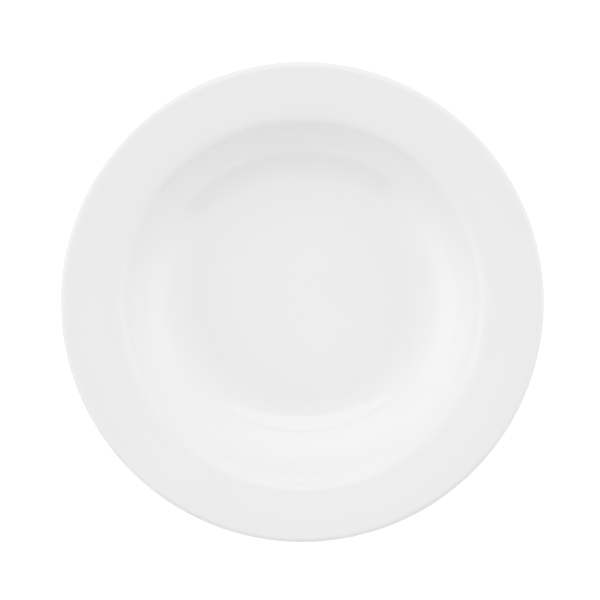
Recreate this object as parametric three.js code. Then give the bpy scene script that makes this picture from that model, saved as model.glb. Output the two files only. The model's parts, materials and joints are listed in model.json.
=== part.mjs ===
// A deep rimmed plate: one porcelain body with its foot ring, under two coats of glaze.
// Millimetres, +Z up. The origin is the centre of the foot ring's standing face.
import * as THREE from "three";

// The well, on the upper face of the fired body
const wellDiameter = 165.4; // where the straight lines of wall and rim would meet
const wellDepth = 23.3; // from the floor up to that meeting
const wallAngle = 50; // degrees above level
const coveRadius = 33; // between floor and wall
const shoulderRadius = 10.7; // between wall and rim

// The rim, which is crowned: it rises less and less towards the lip
const plateDiameter = 220; // over the glazed lip
const crownDiameter = 192; // where the lines of the rim's inner and outer halves would meet
const innerRimAngle = 12.5; // degrees above level, next to the shoulder
const outerRimAngle = 3; // degrees above level, next to the lip
const crownRadius = 115;
const lipUnderRadius = 1; // the rest of the rim's thickness is rounded from above

// The thickness of the fired body
const baseThickness = 4.5;
const wallThickness = 4.2;
const rimThickness = 3.4;

// The underside
const underShoulderRadius = 7; // between the undersides of wall and rim
const bellyAngle = 22; // degrees above level, where the underside leaves the foot ring
const bellyRadius = 20; // between the belly and the underside of the wall

// The foot ring
const footSetback = 2.5; // from where floor and wall would meet, in to the ring's outer edge
const footWidth = 3.6; // of the standing face, over its rounded edges
const footHeight = 5; // up the ring's outer side to the belly
const recessDepth = 3.6; // from the standing face up to the base inside the ring
const footDraft = 14; // degrees that each side of the ring leans from upright
const footEdgeRadius = 0.7;
const footRootRadius = 1.5; // where the ring grows out of the base and the belly

// The glaze
const glazeThickness = 0.3;
const bareFootHeight = 1.3; // wiped clear of glaze on both sides of the ring

// The facets
const turnSteps = 64; // round the plate
const chordError = 0.1; // the most that a chord may leave its arc
const leastStep = 0.01; // points nearer to each other than this are one point

const materials = {
  porcelain: new THREE.MeshStandardMaterial({ color: 0xe9e6e0, roughness: 0.75, metalness: 0 }),
  glaze: new THREE.MeshStandardMaterial({ color: 0xececec, roughness: 0.08, metalness: 0 }),
};

// A direction in the plate's section, in degrees above level, with x outwards and y up.
function heading(degrees) {
  const radians = THREE.MathUtils.degToRad(degrees);
  return new THREE.Vector2(Math.cos(radians), Math.sin(radians));
}

// The direction a quarter turn to the left.
function leftOf(direction) {
  return new THREE.Vector2(-direction.y, direction.x);
}

// A point moved by a distance along a direction.
function moved(point, direction, distance) {
  return point.clone().addScaledVector(direction, distance);
}

// A point moved along a direction until it is at a radius.
function carriedTo(radius, point, direction) {
  return moved(point, direction, (radius - point.x) / direction.x);
}

// A point moved along a direction until it is at a height.
function raisedTo(height, point, direction) {
  return moved(point, direction, (height - point.y) / direction.y);
}

// Where the line through a along u crosses the line through b along v.
function meeting(a, u, b, v) {
  const along = b.clone().sub(a).cross(v) / u.cross(v);
  return moved(a, u, along);
}

// The points of an outline that runs straight between corners and turns each one on its radius.
// Roundings that would crowd each other on a straight are both made smaller, to share it.
// Where one rounding runs straight into the next, the point between them is kept once.
// Each point keeps the way out of the body, which lies on the left as the outline runs.
function roundedOutline(corners) {
  const straights = corners.slice(1).map(({ at }, i) => at.clone().sub(corners[i].at));
  const arrivals = [straights[0], ...straights].map((straight) => straight.clone().normalize());
  const turns = arrivals.map((arriving, i) => {
    const leaving = arrivals[Math.min(i + 1, straights.length)];
    return Math.atan2(arriving.cross(leaving), arriving.dot(leaving));
  });
  const reaches = corners.map(({ radius = 0 }, i) => radius * Math.tan(Math.abs(turns[i]) / 2));
  straights.forEach((straight, i) => {
    const crowding = Math.max((reaches[i] + reaches[i + 1]) / straight.length(), 1);
    reaches[i] /= crowding;
    reaches[i + 1] /= crowding;
  });

  const points = corners.flatMap(({ at, name }, i) => {
    const out = leftOf(arrivals[i]);
    if (reaches[i] === 0) {
      return [{ at, out, name }];
    }
    const radius = reaches[i] / Math.tan(Math.abs(turns[i]) / 2);
    const side = Math.sign(turns[i]);
    const centre = moved(moved(at, arrivals[i], -reaches[i]), out, side * radius);
    const steps = Math.ceil(Math.abs(turns[i]) / (2 * Math.acos(1 - chordError / radius)));
    return Array.from({ length: steps + 1 }, (_, k) => {
      const turned = out.clone().rotateAround(new THREE.Vector2(), (turns[i] * k) / steps);
      return { at: moved(centre, turned, -side * radius), out: turned };
    });
  });
  return points.filter(({ at, name }, i) => name || i === 0 || at.distanceTo(points[i - 1].at) > leastStep);
}

// The section of the fired body, from the middle of the well's floor round the lip
// to the middle of the base.
function bodyOutline() {
  const level = heading(0);
  const wall = heading(wallAngle);
  const innerRim = heading(innerRimAngle);
  const outerRim = heading(outerRimAngle);
  const belly = heading(bellyAngle);
  const footOuterSide = heading(90 - footDraft);
  const footInnerSide = heading(90 + footDraft);

  const baseMiddle = new THREE.Vector2(0, recessDepth);
  const floorMiddle = new THREE.Vector2(0, recessDepth + baseThickness);
  const shoulder = new THREE.Vector2(wellDiameter / 2, floorMiddle.y + wellDepth);
  const wallFoot = meeting(floorMiddle, level, shoulder, wall);
  const crown = carriedTo(crownDiameter / 2, shoulder, innerRim);

  const wallUnder = moved(shoulder, leftOf(wall), -wallThickness);
  const innerRimUnder = moved(crown, leftOf(innerRim), -rimThickness);
  const outerRimUnder = moved(crown, leftOf(outerRim), -rimThickness);
  const lipReach = plateDiameter / 2 - glazeThickness - lipUnderRadius;
  const lipCentre = carriedTo(lipReach, moved(outerRimUnder, leftOf(outerRim), lipUnderRadius), outerRim);
  const lipEnd = moved(lipCentre, outerRim, lipUnderRadius);
  const lipUnder = moved(lipEnd, leftOf(outerRim), -lipUnderRadius);
  const lipTop = moved(lipUnder, leftOf(outerRim), rimThickness);

  const footOuterEdge = new THREE.Vector2(wallFoot.x - footSetback, 0);
  const footInnerEdge = new THREE.Vector2(footOuterEdge.x - footWidth, 0);
  const footOuterRoot = raisedTo(footHeight, footOuterEdge, footOuterSide);
  const footInnerRoot = raisedTo(recessDepth, footInnerEdge, footInnerSide);
  const outerGlazeLine = raisedTo(bareFootHeight, footOuterEdge, footOuterSide);
  const innerGlazeLine = raisedTo(bareFootHeight, footInnerEdge, footInnerSide);

  return roundedOutline([
    { at: floorMiddle },
    { at: wallFoot, radius: coveRadius },
    { at: shoulder, radius: shoulderRadius },
    { at: crown, radius: crownRadius },
    { at: lipTop, radius: rimThickness - lipUnderRadius },
    { at: lipUnder, radius: lipUnderRadius },
    { at: meeting(outerRimUnder, outerRim, innerRimUnder, innerRim), radius: crownRadius - rimThickness },
    { at: meeting(innerRimUnder, innerRim, wallUnder, wall), radius: underShoulderRadius },
    { at: meeting(wallUnder, wall, footOuterRoot, belly), radius: bellyRadius },
    { at: footOuterRoot, radius: footRootRadius },
    { at: outerGlazeLine, name: "outer glaze line" },
    { at: footOuterEdge, radius: footEdgeRadius },
    { at: footInnerEdge, radius: footEdgeRadius },
    { at: innerGlazeLine, name: "inner glaze line" },
    { at: footInnerRoot, radius: footRootRadius },
    { at: baseMiddle },
  ]);
}

// The section of a coat of even thickness: out over the body's points, back along the body, and closed.
function coatOutline(points) {
  const skin = points.map(({ at, out }) => moved(at, out, glazeThickness));
  const bonded = points.map(({ at }) => at).reverse();
  return [...skin, ...bonded, skin[0]];
}

// A section turned about the plate's upright axis.
function turnedMesh(name, outline, material) {
  const geometry = new THREE.LatheGeometry(outline.toReversed(), turnSteps);
  geometry.rotateX(Math.PI / 2);
  const mesh = new THREE.Mesh(geometry, material);
  mesh.name = name;
  return mesh;
}

const body = bodyOutline();
const outerGlazeEnd = body.findIndex(({ name }) => name === "outer glaze line");
const innerGlazeStart = body.findIndex(({ name }) => name === "inner glaze line");

const plate = new THREE.Group();
plate.add(
  turnedMesh("porcelain_body", body.map(({ at }) => at), materials.porcelain),
  turnedMesh("outer_glaze", coatOutline(body.slice(0, outerGlazeEnd + 1)), materials.glaze),
  turnedMesh("base_glaze", coatOutline(body.slice(innerGlazeStart)), materials.glaze),
);

export default plate;
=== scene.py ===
import json
import bpy
import numpy as np
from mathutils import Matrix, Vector


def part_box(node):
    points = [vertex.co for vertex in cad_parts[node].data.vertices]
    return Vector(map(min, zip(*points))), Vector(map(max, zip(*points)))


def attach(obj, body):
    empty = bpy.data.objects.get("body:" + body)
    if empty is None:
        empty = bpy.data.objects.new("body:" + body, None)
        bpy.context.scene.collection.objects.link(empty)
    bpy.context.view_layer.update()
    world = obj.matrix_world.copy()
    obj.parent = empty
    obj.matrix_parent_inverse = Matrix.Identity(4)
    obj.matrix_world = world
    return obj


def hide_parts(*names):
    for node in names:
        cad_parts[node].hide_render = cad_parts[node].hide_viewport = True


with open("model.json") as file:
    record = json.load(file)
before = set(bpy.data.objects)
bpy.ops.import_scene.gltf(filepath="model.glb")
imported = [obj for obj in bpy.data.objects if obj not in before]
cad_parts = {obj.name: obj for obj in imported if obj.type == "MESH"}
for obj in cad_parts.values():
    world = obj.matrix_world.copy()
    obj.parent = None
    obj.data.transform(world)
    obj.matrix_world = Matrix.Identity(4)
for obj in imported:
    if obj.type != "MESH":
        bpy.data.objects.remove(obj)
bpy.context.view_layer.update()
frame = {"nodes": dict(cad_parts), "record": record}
scene = bpy.context.scene
scene.view_settings.view_transform = "Standard"
print("frame loaded:", ", ".join(sorted(frame["nodes"])))

perMetre = 1000.0  # the section below is drawn in mm, the scene is in metres

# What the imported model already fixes, in mm
mounts = {mount["name"]: mount["pos_m"] for mount in frame["record"]["mounts"]}
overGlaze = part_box("outer_glaze")
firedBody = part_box("porcelain_body")
lipRadius = overGlaze[1].x * perMetre
lipTop = overGlaze[1].z * perMetre
glazeDepth = lipRadius - firedBody[1].x * perMetre
floorHeight = mounts["well_floor"][2] * perMetre - glazeDepth  # the fired floor, under its glaze
footMiddle = mounts["foot_ring"][0] * perMetre
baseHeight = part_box("base_glaze")[1].z * perMetre  # the fired base inside the foot ring

# The section of the fired body: sizes in mm, angles in degrees above level
bodySection = {
    "wellRadius": 82.7,  # where the lines of wall and rim would meet
    "wellDepth": 23.3,
    "wallAngle": 50.0,
    "coveRadius": 33.0,
    "shoulderAngle": 26.5,  # where the shoulder's tighter curve gives way to its slower one
    "shoulderRadii": (8.6, 13.6),  # next to the wall, next to the rim
    "crownRadius": 96.0,  # where the lines of the rim's two halves would meet
    "rimAngles": (12.5, 3.0),  # next to the shoulder, next to the lip
    "crownCurve": 112.0,
    "lipUnderCurve": 1.4,
    "wallThickness": 4.2,
    "rimThickness": 3.4,
    "underShoulderCurve": 6.4,
    "underCrownCurve": 105.0,
    "bellyAngle": 22.0,
    "bellyCurve": 20.0,
    "footWidth": 3.6,
    "footHeight": 5.0,
    "footDraft": 14.0,
    "footEdgeCurve": 0.7,
    "footRootCurve": 1.5,
    "bareHeight": 1.3,  # how far the glaze is wiped back from the standing face
    "walkStep": 0.02,
}


# A heading in degrees above level becomes the unit step (cos, sin) in radius and height.
def stepAt(degrees):
    return np.array([np.cos(np.radians(degrees)), np.sin(np.radians(degrees))])


# The left side of a step is its quarter turn: (x, y) becomes (-y, x).
def leftOf(steps):
    return np.stack([-steps[..., 1], steps[..., 0]], axis=-1)


# Two lines cross at p + u t, with t the cross product of (q - p) and v over that of u and v.
def meeting(p, u, q, v):
    gap = q - p
    return p + u * (gap[0] * v[1] - gap[1] * v[0]) / (u[0] * v[1] - u[1] * v[0])


# A path through corners, each turned on its own radius: an arc takes radius times tan(half its turn)
# from both of its straights. Heading against length is then straight lines, and the path is the
# running sum of (cos, sin) of the heading at the middle of each short step. What it misses the last
# corner by is shared out evenly along it.
def walkedPath(corners, step):
    points = np.array([corner[0] for corner in corners])
    radii = np.array([corner[1] for corner in corners[1:-1]])
    runs = np.diff(points, axis=0)
    lengths = np.hypot(runs[:, 0], runs[:, 1])
    headings = np.unwrap(np.arctan2(runs[:, 1], runs[:, 0]))
    turns = np.abs(np.diff(headings))
    reaches = radii * np.tan(turns / 2)
    straights = lengths - np.append(0, reaches) - np.append(reaches, 0)
    stretches = np.zeros(2 * len(lengths) - 1)
    stretches[0::2] = np.maximum(straights, 0)
    stretches[1::2] = radii * turns
    marks = np.append(0, np.cumsum(stretches))
    along = np.linspace(0, marks[-1], int(marks[-1] / step) + 1)
    middles = (along[1:] + along[:-1]) / 2
    turned = np.interp(middles, marks, np.repeat(headings, 2))
    steps = np.stack([np.cos(turned), np.sin(turned)], axis=1) * np.diff(along)[:, None]
    path = np.vstack([points[0], points[0] + np.cumsum(steps, axis=0)])
    return path + (points[-1] - path[-1]) * (along / marks[-1])[:, None]


bellReach = 3  # spreads from its middle to where the bell is cut off


# Softens a path as levelling glaze does: each point becomes the bell-weighted mean of its neighbours.
# Past an end the path is carried on turned half round that end, which so keeps its place.
def levelled(path, spread, step):
    reach = int(bellReach * spread / step)
    bell = np.exp(-0.5 * (np.arange(-reach, reach + 1) * step / spread) ** 2)
    before = 2 * path[0] - path[reach:0:-1]
    after = 2 * path[-1] - path[-2 : -reach - 2 : -1]
    longer = np.vstack([before, path, after])
    return np.stack([np.convolve(longer[:, k], bell / bell.sum(), "valid") for k in (0, 1)], axis=1)


# Picks points along a fine path so that no step is longer than `longest` or turns more than
# `sharpest`: both are counted up along the path, and the points stand at even counts, at most one
# apart. A column after radius and height is carried along.
def thinned(path, longest, sharpest):
    runs = np.diff(path, axis=0)
    lengths = np.hypot(runs[:, 0], runs[:, 1])
    headings = np.unwrap(np.arctan2(runs[:, 1], runs[:, 0]))
    turns = np.abs(np.diff(headings, append=headings[-1]))
    counts = np.append(0, np.cumsum(np.maximum(lengths / longest, turns / np.radians(sharpest))))
    wanted = np.linspace(0, counts[-1], int(np.ceil(counts[-1])) + 1)
    return np.stack([np.interp(wanted, counts, column) for column in path.T], axis=1)


# The corners of the fired body's section, from the middle of the well's floor round the lip to the
# middle of the base. Its undersides lie a wall's or a rim's thickness below its upper lines.
def bodyCorners(s):
    level, wall = stepAt(0), stepAt(s["wallAngle"])
    innerRim, outerRim = (stepAt(angle) for angle in s["rimAngles"])
    floorMiddle = np.array([0, floorHeight])
    shoulder = np.array([s["wellRadius"], floorHeight + s["wellDepth"]])
    wallFoot = meeting(floorMiddle, level, shoulder, wall)
    crown = shoulder + innerRim * (s["crownRadius"] - s["wellRadius"]) / innerRim[0]

    # The shoulder turns in two parts that meet on one slope, so a line at that slope cuts its corner
    wallTurn = np.radians(s["wallAngle"] - s["shoulderAngle"])
    rimTurn = np.radians(s["shoulderAngle"] - s["rimAngles"][0])
    cut = s["shoulderRadii"][0] * np.tan(wallTurn / 2) + s["shoulderRadii"][1] * np.tan(rimTurn / 2)
    wallEnd = shoulder - wall * cut * np.sin(rimTurn) / np.sin(wallTurn + rimTurn)
    rimStart = shoulder + innerRim * cut * np.sin(wallTurn) / np.sin(wallTurn + rimTurn)

    wallUnder = shoulder - leftOf(wall) * s["wallThickness"]
    innerUnder = crown - leftOf(innerRim) * s["rimThickness"]
    outerUnder = crown - leftOf(outerRim) * s["rimThickness"]
    lipLine = outerUnder + leftOf(outerRim) * s["lipUnderCurve"]
    lipReach = lipRadius - glazeDepth - s["lipUnderCurve"]
    lipCentre = lipLine + outerRim * (lipReach - lipLine[0]) / outerRim[0]
    lipUnder = lipCentre + (outerRim - leftOf(outerRim)) * s["lipUnderCurve"]
    lipOver = lipUnder + leftOf(outerRim) * s["rimThickness"]

    draft = np.tan(np.radians(s["footDraft"]))
    footOuter = np.array([footMiddle + s["footWidth"] / 2, 0])
    footInner = np.array([footMiddle - s["footWidth"] / 2, 0])
    footOuterRoot = footOuter + np.array([draft, 1]) * s["footHeight"]
    footInnerRoot = footInner + np.array([-draft, 1]) * baseHeight
    return [
        (floorMiddle, 0),
        (wallFoot, s["coveRadius"]),
        (wallEnd, s["shoulderRadii"][0]),
        (rimStart, s["shoulderRadii"][1]),
        (crown, s["crownCurve"]),
        (lipOver, s["rimThickness"] - s["lipUnderCurve"]),
        (lipUnder, s["lipUnderCurve"]),
        (meeting(outerUnder, outerRim, innerUnder, innerRim), s["underCrownCurve"]),
        (meeting(innerUnder, innerRim, wallUnder, wall), s["underShoulderCurve"]),
        (meeting(wallUnder, wall, footOuterRoot, stepAt(s["bellyAngle"])), s["bellyCurve"]),
        (footOuterRoot, s["footRootCurve"]),
        (footOuter, s["footEdgeCurve"]),
        (footInner, s["footEdgeCurve"]),
        (footInnerRoot, s["footRootCurve"]),
        (np.array([0, baseHeight]), 0),
    ]


bodyPath = walkedPath(bodyCorners(bodySection), bodySection["walkStep"])

# The glaze stops where both sides of the foot ring pass the wiped height
onFoot = bodyPath[:, 1] < bodySection["bareHeight"]
outerLine = int(np.argmax(onFoot))
innerLine = len(onFoot) - 1 - int(np.argmax(onFoot[::-1]))
print("section walked:", len(bodyPath), "points")
print("glaze lines at:", bodyPath[outerLine], bodyPath[innerLine])

# How the section is turned into a surface, and how far firing bent it. Spacing along the section is the
# longest step in mm and the sharpest turn in degrees.
turning = {
    "turns": 272,  # steps round the plate
    "skinSpacing": (1.6, 2.2),  # the glaze that shows
    "baseSpacing": (0.8, 2.2),  # the glaze inside the foot ring
    "footSpacing": (1.2, 4.0),  # the bare foot
    "bondSpacing": (5.0, 8.0),  # where glaze lies on the body, out of sight
    "warpHeight": 0.06,  # mm, at the lip
    "warpWaves": ((2, 0.6, 1.0), (3, 2.1, 0.55)),  # waves round the rim, where they start, their share
    "warpFrom": 78.0,  # mm, no warp within this radius
}


# How far the rim has sunk in firing: cosine waves round the plate, from 0 down. They grow from the
# wall to the lip with s squared times (3 - 2 s), where s goes evenly from 0 to 1.
def warped(radius, around):
    s = np.clip((radius - turning["warpFrom"]) / (lipRadius - turning["warpFrom"]), 0, 1)
    waves = 0
    for count, start, part in turning["warpWaves"]:
        waves = waves + part * (np.cos(count * around - start) - 1)
    return turning["warpHeight"] * s * s * (3 - 2 * s) * waves


# A section with both ends on the axis, carried round it: x = r cos a, y = r sin a, z = height + warp.
# The two ends become single points with fans of triangles, and everything between is rings of quads.
# A third column of the section is kept on the points as how far the glaze has pooled there, and how
# much painted light it takes.
def turnedPiece(name, section, material):
    turns = turning["turns"]
    around = np.arange(turns) * 2 * np.pi / turns
    radius, height = section[1:-1, :1], section[1:-1, 1:2]
    x, y = radius * np.cos(around), radius * np.sin(around)
    z = height + warped(radius, around)
    rings = np.stack([x, y, z], axis=-1).reshape(-1, 3)
    poles = np.array([[0, 0, section[0, 1]], [0, 0, section[-1, 1]]])
    points = np.vstack([rings, poles]) / perMetre

    ringCount = len(section) - 2
    here = np.arange(turns)
    after = (here + 1) % turns
    first = (np.arange(ringCount - 1) * turns)[:, None]
    below = first + turns
    quads = np.stack([first + here, below + here, below + after, first + after], axis=-1)
    top, bottom = len(rings), len(rings) + 1
    last = (ringCount - 1) * turns
    topFan = np.stack([np.full(turns, top), here, after], axis=-1)
    bottomFan = np.stack([last + here, np.full(turns, bottom), last + after], axis=-1)

    mesh = bpy.data.meshes.new(name)
    mesh.from_pydata(points, [], quads.reshape(-1, 4).tolist() + topFan.tolist() + bottomFan.tolist())
    mesh.polygons.foreach_set("use_smooth", np.ones(len(mesh.polygons), bool))
    for pooledAndLit in section.T[2:]:
        attribute = mesh.attributes.new("pooledAndLit", "FLOAT", "POINT")
        onRings = np.repeat(pooledAndLit[1:-1], turns)
        attribute.data.foreach_set("value", np.append(onRings, pooledAndLit[[0, -1]]).astype(np.float32))
    mesh.materials.append(material)
    mesh.update()
    piece = bpy.data.objects.new(name, mesh)
    scene.collection.objects.link(piece)
    print("turned", name + ":", len(mesh.vertices), "points,", len(mesh.polygons), "faces")
    return piece


# sRGB hex to linear light: a straight line below 0.04045, a power of 2.4 above it.
def linear(colour):
    levels = np.array([int(colour[k : k + 2], 16) for k in (1, 3, 5)]) / 255
    light = np.where(levels <= 0.04045, levels / 12.92, ((levels + 0.055) / 1.055) ** 2.4)
    return (*light.tolist(), 1.0)


# Adds one node: its options are set, then each input is linked to a socket or given its value.
def addNode(tree, kind, inputs=None, **options):
    node = tree.nodes.new(kind)
    for option, value in options.items():
        setattr(node, option, value)
    for slot, value in (inputs or {}).items():
        if isinstance(value, bpy.types.NodeSocket):
            tree.links.new(value, node.inputs[slot])
        else:
            node.inputs[slot].default_value = value
    return node


# A material with an empty node tree, and that tree.
def newMaterial(name):
    material = bpy.data.materials.new(name)
    material.use_nodes = True
    material.node_tree.nodes.clear()
    return material, material.node_tree


# Noise in the piece's own coordinates, with swellings of a size in mm. Finer layers are added to it,
# each a share as strong as the one before.
def addNoise(tree, size, layers, share):
    place = addNode(tree, "ShaderNodeTexCoord").outputs["Object"]
    inputs = {"Vector": place, "Scale": perMetre / size, "Detail": layers, "Roughness": share}
    return addNode(tree, "ShaderNodeTexNoise", inputs).outputs["Fac"]


# A value from 0 to 1, carried evenly to between two ends.
def addRange(tree, value, ends):
    inputs = {"Value": value, "To Min": ends[0], "To Max": ends[1]}
    return addNode(tree, "ShaderNodeMapRange", inputs).outputs["Result"]


# A mix of two sRGB hex colours, the second by the factor's share.
def addTone(tree, factor, one, two):
    inputs = {"Factor": factor, "A": linear(one), "B": linear(two)}
    return addNode(tree, "ShaderNodeMix", inputs, data_type="RGBA").outputs["Result"]


# A bump that is a height of 0 to 1 times a depth in mm.
def addBump(tree, height, depth):
    inputs = {"Height": height, "Strength": 1.0, "Distance": depth / perMetre}
    return addNode(tree, "ShaderNodeBump", inputs).outputs["Normal"]


# White gloss glaze, dipped and fired: a glassy skin that mirrors the lights and lies a little unevenly
# like the skin of an orange. Its tone is whitest where it has pooled and greyer where it ran thin. It
# also carries painted light: painted fill light that makes the floor of the well and the hollows
# lighter, and painted shade on the shoulder. Noise layers are how many, and the share of each.
whiteGlaze = {
    "thinAndShaded": "#f2f2f2",
    "pooledAndLit": "#f8f8f8",
    "roughness": (0.015, 0.03),
    "ior": 1.55,
    "peelSize": 5.0,  # mm between the swellings of the glaze
    "peelLayers": (1.0, 0.4),
    "peelHeight": 0.0015,  # mm
    "driftSize": 45.0,  # mm between paler and greyer patches
    "driftLayers": (2.0, 0.5),
    "driftShares": (-0.2, 0.2),
}


# A shader with a colour, a roughness and a bump, led to the material's output.
def addSurface(tree, tone, roughness, bump, ior):
    inputs = {"Base Color": tone, "Roughness": roughness, "IOR": ior, "Normal": bump}
    shader = addNode(tree, "ShaderNodeBsdfPrincipled", inputs)
    addNode(tree, "ShaderNodeOutputMaterial", {"Surface": shader.outputs["BSDF"]})


# The tone goes from the thin grey, which is also painted shade, to the pooled white, which is also
# painted light, with the amount kept on the points, and drifts a little either way.
def glazeMaterial(name, g):
    material, tree = newMaterial(name)
    pooledAndLit = addNode(tree, "ShaderNodeAttribute", attribute_name="pooledAndLit").outputs["Fac"]
    drift = addNoise(tree, g["driftSize"], *g["driftLayers"])
    patches = addRange(tree, drift, g["driftShares"])
    # the pooled amount holds painted light: lighter low in the well and in hollows, darker on the
    # shoulder
    depth = addNode(tree, "ShaderNodeMath", {0: patches, 1: pooledAndLit}, operation="ADD").outputs[0]
    tone = addTone(tree, depth, g["thinAndShaded"], g["pooledAndLit"])
    gloss = addRange(tree, drift, g["roughness"])
    peel = addNoise(tree, g["peelSize"], *g["peelLayers"])
    addSurface(tree, tone, gloss, addBump(tree, peel, g["peelHeight"]), g["ior"])
    return material


# Bare porcelain, fired and ground on the standing face: matt, faintly warm, with a fine sandy grain
# and the dark specks that it picks up in use.
bareBiscuit = {
    "clean": "#eae7e2",
    "soiled": "#d2cdc5",
    "roughness": (0.62, 0.85),
    "ior": 1.5,
    "grainSize": 0.35,  # mm
    "grainLayers": (3.0, 0.6),
    "grainHeight": 0.02,  # mm
    "soilSize": 4.0,  # mm
    "soilLayers": (4.0, 0.65),
    "soilFrom": (0.5, 0.75),  # the noise soils nothing below the first and fully above the second
}


# A coarse noise soils the tone in patches, and a fine one is the grain: it sets roughness and bump.
def biscuitMaterial(name, b):
    material, tree = newMaterial(name)
    grain = addNoise(tree, b["grainSize"], *b["grainLayers"])
    soil = addNoise(tree, b["soilSize"], *b["soilLayers"])
    start, full = b["soilFrom"]
    patches = addNode(tree, "ShaderNodeMapRange", {"Value": soil, "From Min": start, "From Max": full})
    tone = addTone(tree, patches.outputs["Result"], b["clean"], b["soiled"])
    matt = addRange(tree, grain, b["roughness"])
    addSurface(tree, tone, matt, addBump(tree, grain, b["grainHeight"]), b["ior"])
    return material


glazed = glazeMaterial("porcelain_glaze_dipped_and_fired", whiteGlaze)
bare = biscuitMaterial("porcelain_bare_fired_and_ground", bareBiscuit)

# The two coats of glaze
coat = {
    "levelSpread": 0.5,  # mm over which the wet glaze levelled
    "edgeWidth": 0.7,  # mm of rounded edge where the glaze was wiped
    "poolSpread": 6.0,  # mm over which wet glaze ran off edges and into hollows, and over which the hollows that take painted light are measured
    "pooledAndLitLip": 0.25,  # how pooled and painted light it is on level ground as high as the lip
    "pooledAndLitDown": 0.4,  # more of it on the floor of the well: painted light, lighter lower down
    "pooledAndLitHollow": 0.7,  # more of it for each mm of hollow, as pooled glaze and painted light; less on the convex shoulder, a painted shade
    "ringSpacing": 5.5,  # mm between the turning rings that show through under the base
    "ringHeight": 0.012,  # mm
    "ringReach": 36.0,  # mm from the middle
}


# The skin of a coat: the path pushed out by the glaze's depth, which falls to nothing at the wiped
# edge as a quarter of an ellipse does: depth times the root of 1 - (1 - d / w) squared. Its third
# column is how far the glaze has pooled, with painted light in it: a share for how low a point lies,
# which paints the floor of the well lighter, and one for the hollow, which is how far the mean of the
# path round a point stands out from it. This paints hollows lighter and the shoulder darker.
def skinOf(path, edgeAt):
    runs = np.gradient(path, axis=0)
    outward = leftOf(runs / np.hypot(runs[:, :1], runs[:, 1:]))
    fromEdge = np.abs(np.arange(len(path)) - edgeAt % len(path)) * bodySection["walkStep"]
    near = np.clip(1 - fromEdge / coat["edgeWidth"], 0, 1)
    depth = glazeDepth * np.sqrt(1 - near * near)
    down = np.clip((lipTop - path[:, 1]) / (lipTop - floorHeight), 0, 1)
    meanPath = levelled(path, coat["poolSpread"], bodySection["walkStep"])
    hollow = np.sum((meanPath - path) * outward, axis=1)
    # pooled glaze and painted light: lighter low in the well and in hollows, darker on the convex
    # shoulder
    pooledAndLit = coat["pooledAndLitLip"] + coat["pooledAndLitDown"] * down + coat["pooledAndLitHollow"] * hollow
    return np.column_stack([path + outward * depth[:, None], np.clip(pooledAndLit, 0, 1)])


# Turning rings: a cosine of the radius that dies out towards the foot.
def ringed(path):
    fade = np.clip((coat["ringReach"] - path[:, 0]) / coat["ringSpacing"], 0, 1)
    rise = coat["ringHeight"] * fade * np.cos(2 * np.pi * path[:, 0] / coat["ringSpacing"])
    return np.column_stack([path[:, 0], path[:, 1] + rise])


# The bonded side of a coat takes the amount of pooling and painted light 0: it is out of sight.
def bonded(path):
    return np.column_stack([path, np.zeros(len(path))])


overPath = bodyPath[: outerLine + 1]
barePath = bodyPath[outerLine : innerLine + 1]
underPath = bodyPath[innerLine:]
overBond = thinned(overPath, *turning["bondSpacing"])
bareFoot = thinned(barePath, *turning["footSpacing"])
underBond = thinned(underPath, *turning["bondSpacing"])
wetPath = levelled(overPath, coat["levelSpread"], bodySection["walkStep"])
overSkin = thinned(skinOf(wetPath, -1), *turning["skinSpacing"])
underSkin = thinned(skinOf(ringed(underPath), 0), *turning["baseSpacing"])

body = turnedPiece("fired_body", np.vstack([overBond, bareFoot[1:-1], underBond]), bare)
overCoat = turnedPiece("glaze_over_plate", np.vstack([overSkin, bonded(overBond[::-1][1:])]), glazed)
underCoat = turnedPiece("glaze_under_base", np.vstack([bonded(underBond[::-1]), underSkin[1:]]), glazed)

for piece, node, slot in (
    (body, "porcelain_body", "porcelain"),
    (overCoat, "outer_glaze", "glaze"),
    (underCoat, "base_glaze", "glaze"),
):
    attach(piece, "root")
    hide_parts(node)

white = (1.0, 1.0, 1.0, 1.0)  # the colour of every light here

# The floor the plate stands on: pale and matt, swept up at its edges. What the camera and mirrors see
# of it is lifted to white, and only a faint shadow of the plate is left.
floorSheet = {
    "halfWidth": 4.0,  # m
    "flat": 3.0,  # m from the middle before it rises
    "rise": 0.35,  # m, at the edge
    "steps": 64,
    "colour": "#d8d8d8",
    "lift": 0.55,
}


# White board, matt: an even pale ground. Its own glow is the lift times the greatest of three marks
# that are 1 for camera, mirror and glass rays, so other rays see none of it.
def floorMaterial(name, f):
    material, tree = newMaterial(name)
    rays = addNode(tree, "ShaderNodeLightPath").outputs
    seen = rays["Is Camera Ray"]
    for kind in ("Is Glossy Ray", "Is Transmission Ray"):
        seen = addNode(tree, "ShaderNodeMath", {0: seen, 1: rays[kind]}, operation="MAXIMUM").outputs[0]
    lift = addNode(tree, "ShaderNodeMath", {0: seen, 1: f["lift"]}, operation="MULTIPLY").outputs[0]
    shader = addNode(tree, "ShaderNodeBsdfPrincipled",
                     {"Base Color": linear(f["colour"]), "Roughness": 1.0, "Specular IOR Level": 0.0,
                      "Emission Color": white, "Emission Strength": lift})
    addNode(tree, "ShaderNodeOutputMaterial", {"Surface": shader.outputs["BSDF"]})
    material.cycles.emission_sampling = "NONE"
    return material


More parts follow.
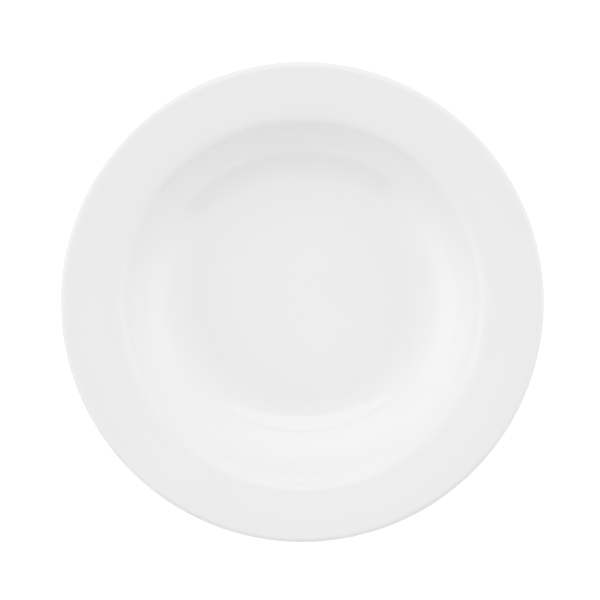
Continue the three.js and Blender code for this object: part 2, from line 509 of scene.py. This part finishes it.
# A square sheet: its height is the rise times the square of the share of the way from flat to edge.
def sweptFloor(name, f):
    across = np.linspace(-f["halfWidth"], f["halfWidth"], f["steps"] + 1)
    x, y = np.meshgrid(across, across)
    out = np.maximum(np.abs(x), np.abs(y)) - f["flat"]
    share = np.clip(out / (f["halfWidth"] - f["flat"]), 0, 1)
    points = np.stack([x, y, f["rise"] * share**2], axis=-1).reshape(-1, 3)
    width = f["steps"] + 1
    first = (np.arange(f["steps"]) * width)[:, None] + np.arange(f["steps"])
    quads = np.stack([first, first + 1, first + width + 1, first + width], axis=-1).reshape(-1, 4)
    mesh = bpy.data.meshes.new(name)
    mesh.from_pydata(points, [], quads.tolist())
    mesh.polygons.foreach_set("use_smooth", np.ones(len(mesh.polygons), bool))
    mesh.materials.append(floorMaterial("matt_white_board", f))
    sheet = bpy.data.objects.new(name, mesh)
    scene.collection.objects.link(sheet)
    return sheet


sweptFloor("floor", floorSheet)

# The camera looks almost straight down, from a little to the far side of the plate. Pixels are of the
# square picture.
camera = {
    "distance": 1.3,  # m from the middle of the lip
    "tilt": 6.15,  # degrees from straight down
    "picture": 600,  # pixels to a side
    "lipRadius": 242.1,  # pixels
    "lipCentre": (302.33, 304.57),  # pixels
    "sensor": 36.0,  # mm
}
tilt = np.radians(camera["tilt"])
lipMiddle = Vector((0, 0, lipTop / perMetre))
pixel = lipRadius / perMetre / camera["lipRadius"]  # m in the plane of the lip
aside = (camera["lipCentre"][0] - camera["picture"] / 2) * pixel
below = (camera["lipCentre"][1] - camera["picture"] / 2) * pixel
back = Vector((0, np.sin(tilt), np.cos(tilt)))
up = Vector((0, np.cos(tilt), -np.sin(tilt)))
lens = bpy.data.cameras.new("camera")
lens.sensor_width = camera["sensor"]
lens.lens = camera["sensor"] * camera["distance"] / (pixel * camera["picture"])
eye = bpy.data.objects.new("camera", lens)
eye.location = lipMiddle + back * camera["distance"] - Vector((1, 0, 0)) * aside + up * below
eye.rotation_euler = (-tilt, 0, 0)
scene.collection.objects.link(eye)
scene.camera = eye

# The studio as the plate sees it: bearings are degrees clockwise from the far side, falls are degrees
# down from straight overhead, and a light of 1 is as bright as white paper
studio = {
    "overhead": 0.05,  # the dark part round the camera
    "overheadFalls": (6, 52),  # it fades into the room between these
    "room": 0.64,
    "horizonFalls": (62, 84),  # the room fades into its lowest part between these
    "horizon": 0.6,
    "lowest": 87,  # no light from below this fall, where the floor hides it
    # Soft windows: degrees to both sides between which they fade out, falls between which they fade in
    "windows": (
        {"bearing": -98, "sides": (14, 46), "falls": (46, 58), "light": 0.58},
        {"bearing": 92, "sides": (8, 40), "falls": (46, 58), "light": 0.5},
    ),
    # What matt rays see instead: a soft light of its own, so smooth that it leaves no grain
    "blurred": {"level": 0.99, "slope": (-0.062, -0.698, -0.187), "sides": 0.514, "lean": 1.888},
}


# Room light by direction. It falls smoothly to the dark part overhead and to the horizon, and a window
# adds a glow that fades smoothly to both sides of its bearing and upwards. Blurred, it is a level, plus
# the dot product of the direction (x, y, z) and a slope, plus shares of x times x and of y times z.
def studioLight(s):
    world = bpy.data.worlds.new("studio")
    world.cycles.sampling_method = "NONE"  # light from all round needs no seeking out
    world.use_nodes = True
    tree = world.node_tree
    tree.nodes.clear()
    way = addNode(tree, "ShaderNodeTexCoord").outputs["Generated"]
    parts = addNode(tree, "ShaderNodeSeparateXYZ", {"Vector": way}).outputs
    acrossParts = {0: parts["X"], 1: parts["Y"]}
    bearing = addNode(tree, "ShaderNodeMath", acrossParts, operation="ARCTAN2").outputs[0]
    fall = addNode(tree, "ShaderNodeMath", {0: parts["Z"]}, operation="ARCCOSINE").outputs[0]
    dimEnd, roomStart = np.radians(s["overheadFalls"])
    roomEnd, horizonStart = np.radians(s["horizonFalls"])
    lower = addNode(tree, "ShaderNodeMapRange",
                    {"Value": fall, "From Min": roomEnd, "From Max": horizonStart,
                     "To Min": s["room"], "To Max": s["horizon"]}, interpolation_type="SMOOTHSTEP")
    upper = addNode(tree, "ShaderNodeMapRange",
                    {"Value": fall, "From Min": dimEnd, "From Max": roomStart,
                     "To Min": s["overhead"], "To Max": lower.outputs["Result"]},
                    interpolation_type="SMOOTHSTEP")
    light = upper.outputs["Result"]

    for window in s["windows"]:
        middle = np.radians(window["bearing"])
        bright, gone = np.radians(window["sides"])
        top, full = np.radians(window["falls"])
        aside = addNode(tree, "ShaderNodeMath", {0: bearing, 1: middle}, operation="SUBTRACT")
        aside = addNode(tree, "ShaderNodeMath", {0: aside.outputs[0]}, operation="ABSOLUTE")
        across = addNode(tree, "ShaderNodeMapRange",
                         {"Value": aside.outputs[0], "From Min": bright, "From Max": gone,
                          "To Min": window["light"], "To Max": 0.0}, interpolation_type="SMOOTHSTEP")
        down = addNode(tree, "ShaderNodeMapRange", {"Value": fall, "From Min": top, "From Max": full},
                       interpolation_type="SMOOTHSTEP")
        light = addNode(tree, "ShaderNodeMath",
                        {0: across.outputs["Result"], 1: down.outputs["Result"], 2: light},
                        operation="MULTIPLY_ADD").outputs[0]

    blurred = s["blurred"]
    sloped = {0: way, 1: blurred["slope"]}
    slope = addNode(tree, "ShaderNodeVectorMath", sloped, operation="DOT_PRODUCT").outputs["Value"]
    soft = addNode(tree, "ShaderNodeMath", {0: slope, 1: blurred["level"]}, operation="ADD").outputs[0]
    for one, two, share in (("X", "X", blurred["sides"]), ("Y", "Z", blurred["lean"])):
        product = addNode(tree, "ShaderNodeMath", {0: parts[one], 1: parts[two]}, operation="MULTIPLY")
        soft = addNode(tree, "ShaderNodeMath", {0: product.outputs[0], 1: share, 2: soft},
                       operation="MULTIPLY_ADD").outputs[0]
    matt = addNode(tree, "ShaderNodeLightPath").outputs["Is Diffuse Ray"]
    light = addNode(tree, "ShaderNodeMix", {"Factor": matt, "A": light, "B": soft},
                    data_type="FLOAT").outputs["Result"]

    lowest = np.radians(s["lowest"])
    shown = addNode(tree, "ShaderNodeMath", {0: fall, 1: lowest}, operation="LESS_THAN").outputs[0]
    light = addNode(tree, "ShaderNodeMath", {0: light, 1: shown}, operation="MULTIPLY").outputs[0]
    air = addNode(tree, "ShaderNodeBackground", {"Color": white, "Strength": light})
    addNode(tree, "ShaderNodeOutputWorld", {"Surface": air.outputs["Background"]})
    return world


scene.world = studioLight(studio)

# Panels with sharp edges: the bearing of the middle, half the width, and rows from the top edge down.
# A row is its fall at the middle, its fall at both ends, and its light. Mirror rays see them, or matt
# rays alone where a panel is marked matt.
clothPanels = {
    "far_softbox": {"bearing": -3.5, "half": 46, "rows": ((15.8, 32, 1.0), (38.8, 42.5, 1.0))},
    "softbox_frame": {"bearing": -3.5, "half": 46, "rows": ((38.8, 42.5, 0.1), (42.6, 46, 0.1))},
    "far_screen": {"bearing": -3.5, "half": 38, "rows": ((42.6, 46, 0.87), (84, 84, 0.87))},
    "front_gap": {"bearing": 174, "half": 40, "rows": ((26, 40, 0.36), (48, 53, 0.08), (79, 79, 0.08))},
    "front_strip": {"bearing": 174, "half": 40, "rows": ((79, 79, 0.5), (85, 85, 0.5))},
    # A black card low in front: it draws the near edge of the lip
    "front_card": {"bearing": 180, "half": 66, "rows": ((79, 86, 0.0), (90, 90, 0.0)), "matt": True},
}
panelDistance = 1.5  # m
panelColumns = 41


# White cloth lit from behind: an even glow that the glaze mirrors, kept on the points of the panel.
def clothMaterial(name):
    material, tree = newMaterial(name)
    light = addNode(tree, "ShaderNodeAttribute", attribute_name="light").outputs["Fac"]
    glow = addNode(tree, "ShaderNodeEmission", {"Color": white, "Strength": light})
    addNode(tree, "ShaderNodeOutputMaterial", {"Surface": glow.outputs["Emission"]})
    material.cycles.emission_sampling = "NONE"
    return material


# A panel is a grid of directions (sin b sin f, cos b sin f, cos f) at one distance. The bearing b runs
# with u from -1 to 1 across it, and the fall f of a row goes from its middle value to its end value
# with the cube of u.
def clothPanel(name, panel, material):
    u = np.linspace(-1, 1, panelColumns)
    middles, ends, lights = np.array(panel["rows"]).T[:, :, None]
    f = np.radians(middles + (ends - middles) * np.abs(u) ** 3)
    b = np.radians(panel["bearing"] + panel["half"] * u)
    ways = np.stack([np.sin(b) * np.sin(f), np.cos(b) * np.sin(f), np.cos(f)], axis=-1)
    points = ways * panelDistance
    first = (np.arange(len(f) - 1) * panelColumns)[:, None] + np.arange(panelColumns - 1)
    quads = np.stack([first, first + 1, first + panelColumns + 1, first + panelColumns], axis=-1)
    mesh = bpy.data.meshes.new(name)
    mesh.from_pydata(points.reshape(-1, 3), [], quads.reshape(-1, 4).tolist())
    attribute = mesh.attributes.new("light", "FLOAT", "POINT")
    attribute.data.foreach_set("value", np.repeat(lights, panelColumns).astype(np.float32))
    mesh.materials.append(material)
    sheet = bpy.data.objects.new(name, mesh)
    sheet.visible_camera = False
    sheet.visible_diffuse = panel.get("matt", False)  # matt rays have the blurred room
    sheet.visible_glossy = not sheet.visible_diffuse
    scene.collection.objects.link(sheet)
    return sheet


litCloth = clothMaterial("white_cloth_lit_from_behind")
for name, panel in clothPanels.items():
    clothPanel(name, panel, litCloth)
print("studio:", len(studio["windows"]), "windows,", len(clothPanels), "panels")
